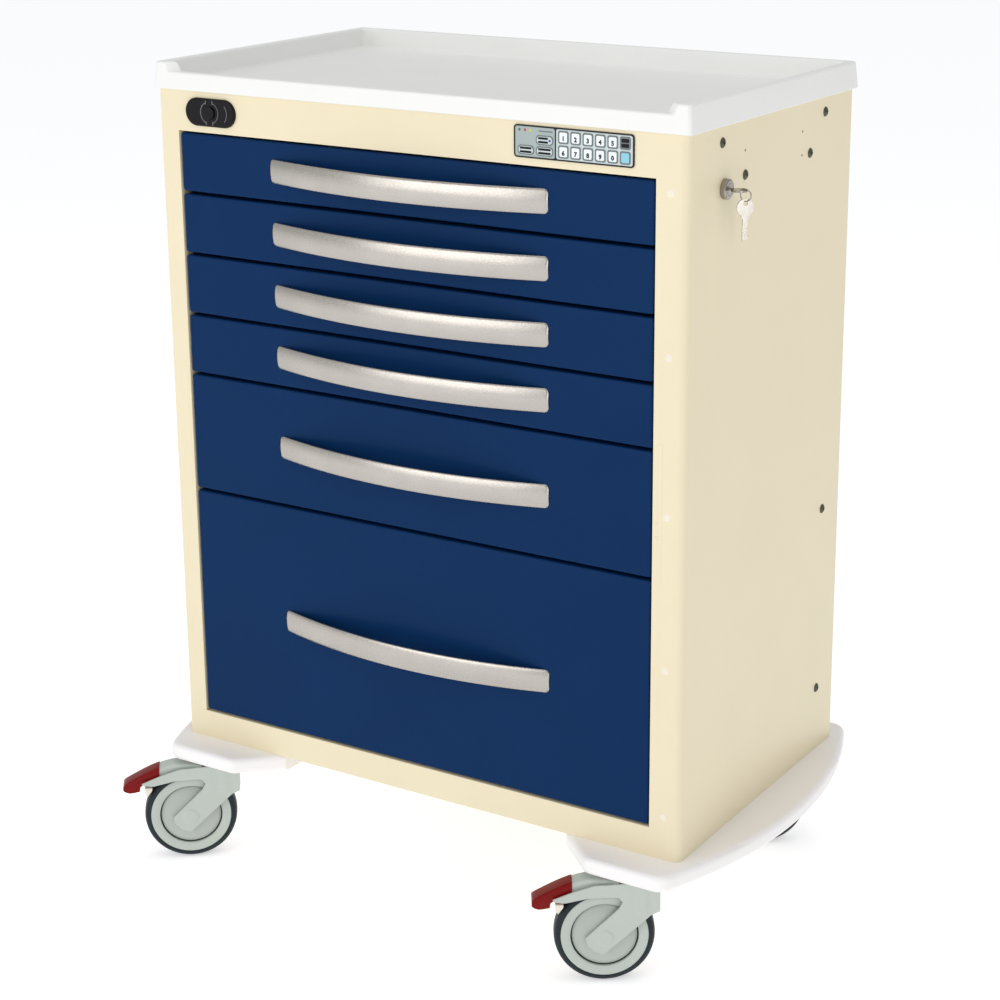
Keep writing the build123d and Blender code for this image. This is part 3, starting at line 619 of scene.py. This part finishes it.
# ---------------------------------------------------------------- keypad
PAD_LOW, PAD_HIGH = (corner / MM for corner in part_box("keypad_housing"))
PAD_Z = (PAD_LOW.z + PAD_HIGH.z) / 2
PAD_SPLIT = PAD_LOW.x + 0.352 * (PAD_HIGH.x - PAD_LOW.x)
PAD_FACE = PAD_LOW.y + 0.4
FIELD_MARGIN = 1.7
FIELD_EDGE = 1.8
FIELD_GAP = 0.7
KEY_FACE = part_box("keypad_keys")[0].y / MM
KEY_PITCH = 15.5
KEY_INSET = 10.1
ROW_PITCH = 16.0
KEY_W, KEY_H = 13.2, 14.2
KEY_OUTLINE = 3.4
CAP_R = 1.6
DIGIT_SIZE = 7.0
DIGITS = ("12345", "67890")
# The wide keys, as (x from the pad's left edge, z from its middle, width).
LEFT_KEYS = [(39.6, 2.8, 22.0), (39.6, -9.4, 22.0), (15.4, -9.4, 21.0)]
# The lights' distances from the pad's left edge; they and the scale bar share one height.
LIGHTS = (("green", 7.2, led_green), ("red", 14.2, led_red), ("yellow", 21.2, led_yellow))
LIGHT_RISE = 12.6
LENS_R = 1.7
LENS_PROUD = 0.55


def key_place(row, column):
    """The middle of a square key, in mm."""
    return PAD_SPLIT + KEY_INSET + KEY_PITCH * column, PAD_Z + ROW_PITCH * (0.5 - row)


def flat_piece(name, plates, material, y_face, thickness=0.3, edge=0.0):
    """One piece of several plates: (outline, x, z) each, in mm."""
    bm = bmesh.new()
    for outline, x, z in plates:
        front_plate(bm, outline, x, z, y_face, thickness, edge)
    return new_piece(name, mesh_of(name, bm), material, "cabinet")


def lettering(name, text, size, x, z, y_face, material):
    """Figures that stand just proud of a key, as a mesh."""
    curve = bpy.data.curves.new(name, "FONT")
    curve.body = text
    curve.size = size * MM
    curve.extrude = 0.04 * MM
    curve.offset = 0.35 * MM
    curve.align_x = "CENTER"
    curve.align_y = "CENTER"
    curve.resolution_u = 3
    source = linked(name + "_source", curve)
    mesh = evaluated(source)
    bpy.data.objects.remove(source)
    mesh.transform(Matrix.Translation(Vector((x, y_face, z)) * MM) @ Matrix.Rotation(math.pi / 2, 4, "X"))
    mesh.materials.clear()
    return new_piece(name, mesh, material, "cabinet")


def led(name, x, z, material):
    """A small domed indicator lens."""
    rings = []
    for i in range(5):
        turn = math.pi / 2 * i / 4 * 0.98
        r, rise = LENS_R * math.cos(turn), LENS_PROUD * math.sin(turn)
        rings.append([Vector((x + r * math.cos(a), PAD_FACE - rise, z + r * math.sin(a))) * MM
                      for a in (2 * math.pi * j / 20 for j in range(20))])
    return new_piece(name, mesh_of(name, bm_from(*skin(rings))), material, "cabinet")


def keypad():
    """The overlay's two fields, the key caps with their labels and figures, and the three lights."""
    paint("keypad_housing", keypad_black)
    paint("keypad_keys", key_rim)
    inner_h = PAD_HIGH.z - PAD_LOW.z - 2 * FIELD_MARGIN
    left_w = PAD_SPLIT - FIELD_GAP - PAD_LOW.x - FIELD_EDGE
    right_w = PAD_HIGH.x - FIELD_EDGE - PAD_SPLIT - FIELD_GAP
    left_field = (rounded_rectangle(left_w, inner_h, 2.4), PAD_LOW.x + FIELD_MARGIN + left_w / 2, PAD_Z)
    right_field = (rounded_rectangle(right_w, inner_h, 2.4), PAD_SPLIT + FIELD_GAP + 0.1 + right_w / 2, PAD_Z)
    flat_piece("keypad_left_field", [left_field], keypad_grey, PAD_FACE - 0.05)
    flat_piece("keypad_right_field", [right_field], keypad_pale, PAD_FACE - 0.05)
    cap = rounded_rectangle(KEY_W - KEY_OUTLINE, KEY_H - KEY_OUTLINE, CAP_R)
    caps = [(cap, *key_place(row, column)) for row in (0, 1) for column in range(5)]
    flat_piece("number_key_caps", caps, key_white, KEY_FACE - 0.12, 0.3, 0.1)
    flat_piece("blue_key_cap", [(cap, *key_place(1, 5))], key_blue, KEY_FACE - 0.12, 0.3, 0.1)
    top_x, top_z = key_place(0, 5)
    bars = [(rounded_rectangle(KEY_W - 3.6, 4.2, 1.2), top_x, top_z + dz) for dz in (2.7, -2.7)]
    for (dx, dz, width), inset in zip(LEFT_KEYS, (3.4, 0.0, 0.0)):
        x, z = PAD_LOW.x + dx - inset / 2, PAD_Z + dz
        bars += [(rounded_rectangle(width - 6.0 - inset, 2.5, 0.8), x, z + shift) for shift in (2.1, -2.1)]
    flat_piece("key_label_bars", bars, print_dark, KEY_FACE - 0.2, 0.3, 0.05)
    pills = [(rounded_rectangle(width - 2.4, 8.2, 3.6), PAD_LOW.x + dx, PAD_Z + dz)
             for dx, dz, width in LEFT_KEYS]
    flat_piece("wide_key_caps", pills, keypad_pale, KEY_FACE - 0.1, 0.3, 0.1)
    dx, dz, width = LEFT_KEYS[0]
    dot = (rounded_rectangle(3.0, 3.0, 1.49), PAD_LOW.x + dx + width / 2 - 4.2, PAD_Z + dz)
    flat_piece("blue_dot", [dot], print_blue, KEY_FACE - 0.2, 0.3, 0.05)
    flat_piece("scale_bar", [(rounded_rectangle(18.0, 1.4, 0.6), PAD_LOW.x + 41.0, PAD_Z + LIGHT_RISE)],
               key_rim, PAD_FACE - 0.15)
    for row, digits in enumerate(DIGITS):
        for column, digit in enumerate(digits):
            x, z = key_place(row, column)
            lettering("digit_" + digit, digit, DIGIT_SIZE, x, z - 1.6, KEY_FACE - 0.14, print_dark)
    for name, dx, material in LIGHTS:
        led("led_" + name, PAD_LOW.x + dx, PAD_Z + LIGHT_RISE, material)


keypad()


# ---------------------------------------------------------------- latch, lock, keys, screws
def arc_band(bm, x, z, radius, width, start, stop, y_face, thickness):
    """A raised arc on a front face, in mm and degrees."""
    steps = max(8, int(abs(stop - start) / 6))
    rings = []
    for i in range(steps + 1):
        turn = math.radians(start + (stop - start) * i / steps)
        c, s = math.cos(turn), math.sin(turn)
        rings.append([Vector((x + (radius + dr) * c, y, z + (radius + dr) * s)) * MM
                      for dr, y in ((-width / 2, y_face + thickness), (-width / 2, y_face + 0.3),
                                    (-width / 2 + 0.3, y_face), (width / 2 - 0.3, y_face),
                                    (width / 2, y_face + 0.3), (width / 2, y_face + thickness))])
    add_faces(bm, *skin(rings))


RELIEF_PROUD = 0.4
RELIEF_R = 13.2
RIB_X, RIB_Z = 5.0, 12.4
CRESCENT_X, CRESCENT_R = 12.0, 14.5


def escutcheon():
    """Raised lines on the escutcheon: a ring in two arcs round the button, four ribs, and a crescent. They are
    lighter grey than the black face: painted highlights on their edges.
    """
    low, high = (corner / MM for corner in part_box("lock_escutcheon"))
    x, z = (low.x + high.x) / 2, (low.z + high.z) / 2
    paint("lock_escutcheon", black_gloss)
    paint("latch_button", black_gloss)
    face = low.y - RELIEF_PROUD
    bm = bmesh.new()
    arc_band(bm, x, z, RELIEF_R, 1.3, 110, 250, face, 1.2)
    arc_band(bm, x, z, RELIEF_R, 0.9, -62, 62, face, 1.2)
    for dx in (-RIB_X, RIB_X):
        for dz in (-RIB_Z, RIB_Z):
            front_plate(bm, rounded_rectangle(1.2, 5.0, 0.55), x + dx, z + dz, face, 1.0, 0.3)
    arc_band(bm, x + CRESCENT_X, z, CRESCENT_R, 1.0, -40, 40, face, 1.2)
    new_piece("escutcheon_relief", mesh_of("escutcheon_relief", bm), relief_painted_highlight, "cabinet")


# The screw's profile, as (radius, across): the recess, its rim, then the head's outside.
SCREW_PROFILE = [(0.02, -1.0), (1.0, -1.0), (1.8, -1.3), (2.1, -2.4), (3.4, -2.25), (4.8, -1.6), (5.6, -0.8),
                 (5.95, -0.1), (5.95, 0.6), (0.02, 0.6)]
RECESS_LOBES = 0.42
PILOT_HOLES = ((-78.0, 973.0), (71.0, 973.5), (71.0, 946.0))


def screw_mesh():
    """A pan-head screw with a four-lobed recess."""
    segments = 48
    rings = []
    for i in range(segments):
        turn = 2 * math.pi * i / segments
        lobe = 1 + RECESS_LOBES * math.cos(4 * turn)
        ring = [(r * lobe if 0.5 < r < 3 else r, y) for r, y in SCREW_PROFILE]
        rings.append([Vector((r * math.cos(turn), y, r * math.sin(turn))) * MM for r, y in ring])
    return mesh_of("pan_head_screw", bm_from(*skin(rings + [rings[0]], True, False, False)))


def screws():
    """One screw for each CAD screw, on the side sheets and on the back."""
    mesh = screw_mesh()
    for number, part in enumerate(islands(cleaned("panel_screws"))):
        low, high = box_of(part)
        part.free()
        centre = (low + high) / 2
        if high.y - low.y > high.x - low.x:
            side = math.copysign(1, centre.x)
            place = Matrix.Translation((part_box("side_panel_right")[1].x * side, centre.y, centre.z))
            turn = Matrix.Rotation(math.pi / 2 * side, 4, "Z")
        else:
            place = Matrix.Translation((centre.x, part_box("back_panel")[1].y, centre.z))
            turn = Matrix.Rotation(math.pi, 4, "Z")
        piece = new_piece(f"panel_screw_{number}", mesh, screw_oxide_and_hole_shade, "cabinet", place @ turn,
                          SHARP_ANGLE)
        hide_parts("panel_screws")


def pilot_holes():
    """Small unused holes in the right side sheet, drawn as dark discs at its face: painted shade for their depth.
    """
    face_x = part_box("side_panel_right")[1].x / MM
    bm = bmesh.new()
    turns = [2 * math.pi * j / 16 for j in range(16)]
    for y, z in PILOT_HOLES:
        rings = [[Vector((face_x + dx, y + r * math.cos(a), z + r * math.sin(a))) * MM for a in turns]
                 for r, dx in ((1.5, -0.3), (1.5, 0.06), (1.2, 0.1))]
        add_faces(bm, *skin(rings))
    new_piece("pilot_holes", mesh_of("pilot_holes", bm), screw_oxide_and_hole_shade, "cabinet")


def facing_key():
    """The second key, swung on its ring about the vertical so that its flat side shows from the front."""
    hang = Vector(JOINTS["spare_key_hang"]["pos_m"])
    swing = Matrix.Rotation(math.radians(-50.0), 4, "Z")
    eased("spare_key", chrome, 0.35, Matrix.Translation(hang) @ swing @ Matrix.Translation(-hang))


escutcheon()
screws()
pilot_holes()
eased("lock_barrel", chrome, 0.4)
eased("lock_key", chrome, 0.35)
facing_key()


# ---------------------------------------------------------------- studio
FLOOR_HALF = 40.0
FLOOR_GLOW = 0.46


def floor():
    """A white floor that glows a little, so that it stays white far away and its shadows are faint."""
    mesh = bpy.data.meshes.new("studio_floor")
    corners = [(sx * FLOOR_HALF, sy * FLOOR_HALF, 0) for sx, sy in ((-1, -1), (1, -1), (1, 1), (-1, 1))]
    mesh.from_pydata(corners, [], [(0, 1, 2, 3)])
    finish = surface("studio_floor", srgb(236, 236, 238), 0.9, mottle=0.0, grain_depth=0.0, specular=0.0)
    shader = finish.node_tree.nodes["Principled BSDF"]
    shader.inputs["Emission Color"].default_value = (1.0, 1.0, 1.0, 1.0)
    shader.inputs["Emission Strength"].default_value = FLOOR_GLOW
    mesh.materials.append(finish)
    piece = linked("studio_floor", mesh)
    piece.location = (0, 0, -0.0005)


def area_light(name, location, target, size, power):
    """A rectangular light in metres and watts, facing its target."""
    data = bpy.data.lights.new(name, "AREA")
    data.shape = "RECTANGLE"
    data.size, data.size_y = size
    data.energy = power
    light = linked(name, data)
    light.location = location
    light.rotation_euler = (Vector(target) - Vector(location)).to_track_quat("-Z", "Y").to_euler()


def studio():
    """The floor, an even white sky, and a key light, a top light and a narrow edge light."""
    floor()
    world = bpy.data.worlds.new("studio_world")
    world.use_nodes = True
    background = world.node_tree.nodes["Background"]
    background.inputs["Color"].default_value = (0.98, 0.99, 1.0, 1.0)
    background.inputs["Strength"].default_value = 0.60
    bpy.context.scene.world = world
    area_light("key", (-1.4, -4.2, 1.9), (0, 0, 0.6), (3.2, 2.6), 52)
    area_light("top", (0.2, -0.2, 4.2), (0, 0, 1.0), (3.0, 3.0), 26)
    area_light("edge", (3.0, -2.2, 1.5), (0.3, -0.2, 0.6), (0.3, 3.0), 11)
    bpy.context.scene.view_settings.view_transform = "Standard"


CAMERA_PLACE = (1.4644, -2.3122, 1.3819)
# Degrees to the left of +Y, degrees down, and degrees of tilt.
CAMERA_ANGLES = (31.23, 16.2, -0.12)
CAMERA_LENS = 81.2
CAMERA_SHIFT = (-0.0499, -0.0788)


def camera():
    """The viewpoint: a long lens to the right of the front, a little above the worktop."""
    data = bpy.data.cameras.new("camera")
    data.sensor_width = 36.0
    data.lens = CAMERA_LENS
    data.shift_x, data.shift_y = CAMERA_SHIFT
    piece = linked("camera", data)
    yaw, pitch, roll = (math.radians(angle) for angle in CAMERA_ANGLES)
    ahead = Vector((-math.sin(yaw) * math.cos(pitch), math.cos(yaw) * math.cos(pitch), -math.sin(pitch)))
    right = Vector((math.cos(yaw), math.sin(yaw), 0))
    up = right.cross(ahead)
    right, up = (right * math.cos(roll) + up * math.sin(roll), up * math.cos(roll) - right * math.sin(roll))
    rotation = Matrix((right, up, -ahead)).transposed()
    piece.matrix_world = Matrix.Translation(CAMERA_PLACE) @ rotation.to_4x4()
    bpy.context.scene.camera = piece


studio()
camera()
